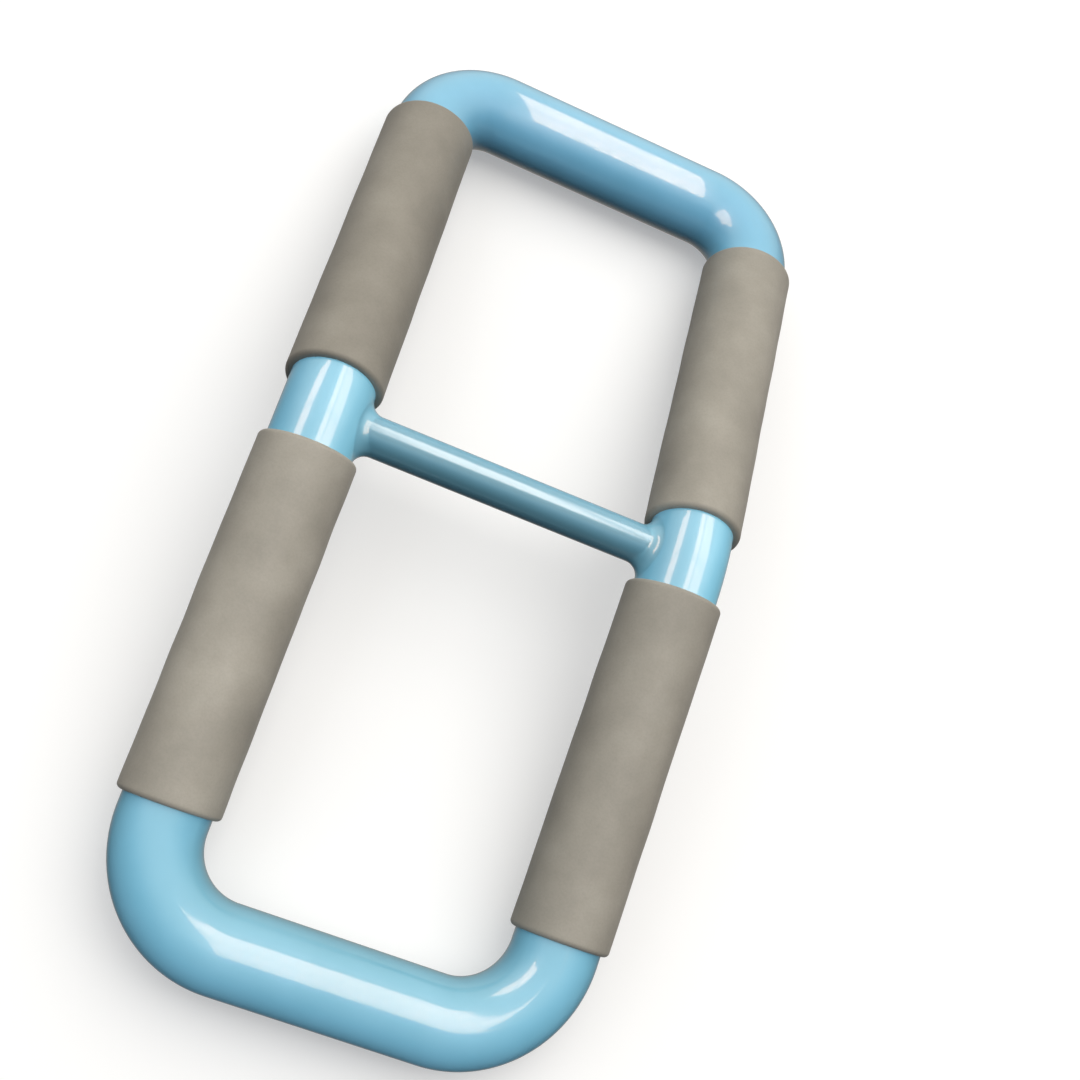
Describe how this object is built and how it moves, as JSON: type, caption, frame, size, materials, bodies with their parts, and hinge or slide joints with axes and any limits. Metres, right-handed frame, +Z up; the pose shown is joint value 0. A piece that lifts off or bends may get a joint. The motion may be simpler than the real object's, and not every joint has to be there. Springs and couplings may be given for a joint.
{
  "type": "hand grip strengthener",
  "caption": "Rigid closed frame of round tube, slightly folded at a thin crossbar, with soft sleeves on both long sides for two people to hold.",
  "frame": {"origin": "bottom centre of the bounding box, on the surface that the two end bars lie on", "axes": "+X along the crossbar to the right, +Y from the lower bow to the upper bow, +Z up"},
  "size_m": [0.1426, 0.2998, 0.049],
  "materials": {
    "frame_coat": "glossy light blue coating",
    "spigot_steel": "plain drawn steel",
    "pin_steel": "dark spring steel",
    "grip_elastomer": "matte warm grey elastomer"
  },
  "bodies": {
    "root": {"upper_bow": "frame_coat", "lower_bow": "frame_coat", "left_post": "frame_coat", "right_post": "frame_coat", "crossbar": "frame_coat", "left_fillet": "frame_coat", "right_fillet": "frame_coat", "upper_left_spigot": "spigot_steel", "upper_right_spigot": "spigot_steel", "lower_left_spigot": "spigot_steel", "lower_right_spigot": "spigot_steel", "upper_left_pins": "pin_steel", "upper_right_pins": "pin_steel", "lower_left_pins": "pin_steel", "lower_right_pins": "pin_steel", "upper_left_grip": "grip_elastomer", "upper_right_grip": "grip_elastomer", "lower_left_grip": "grip_elastomer", "lower_right_grip": "grip_elastomer"}
  },
  "joints": []
}
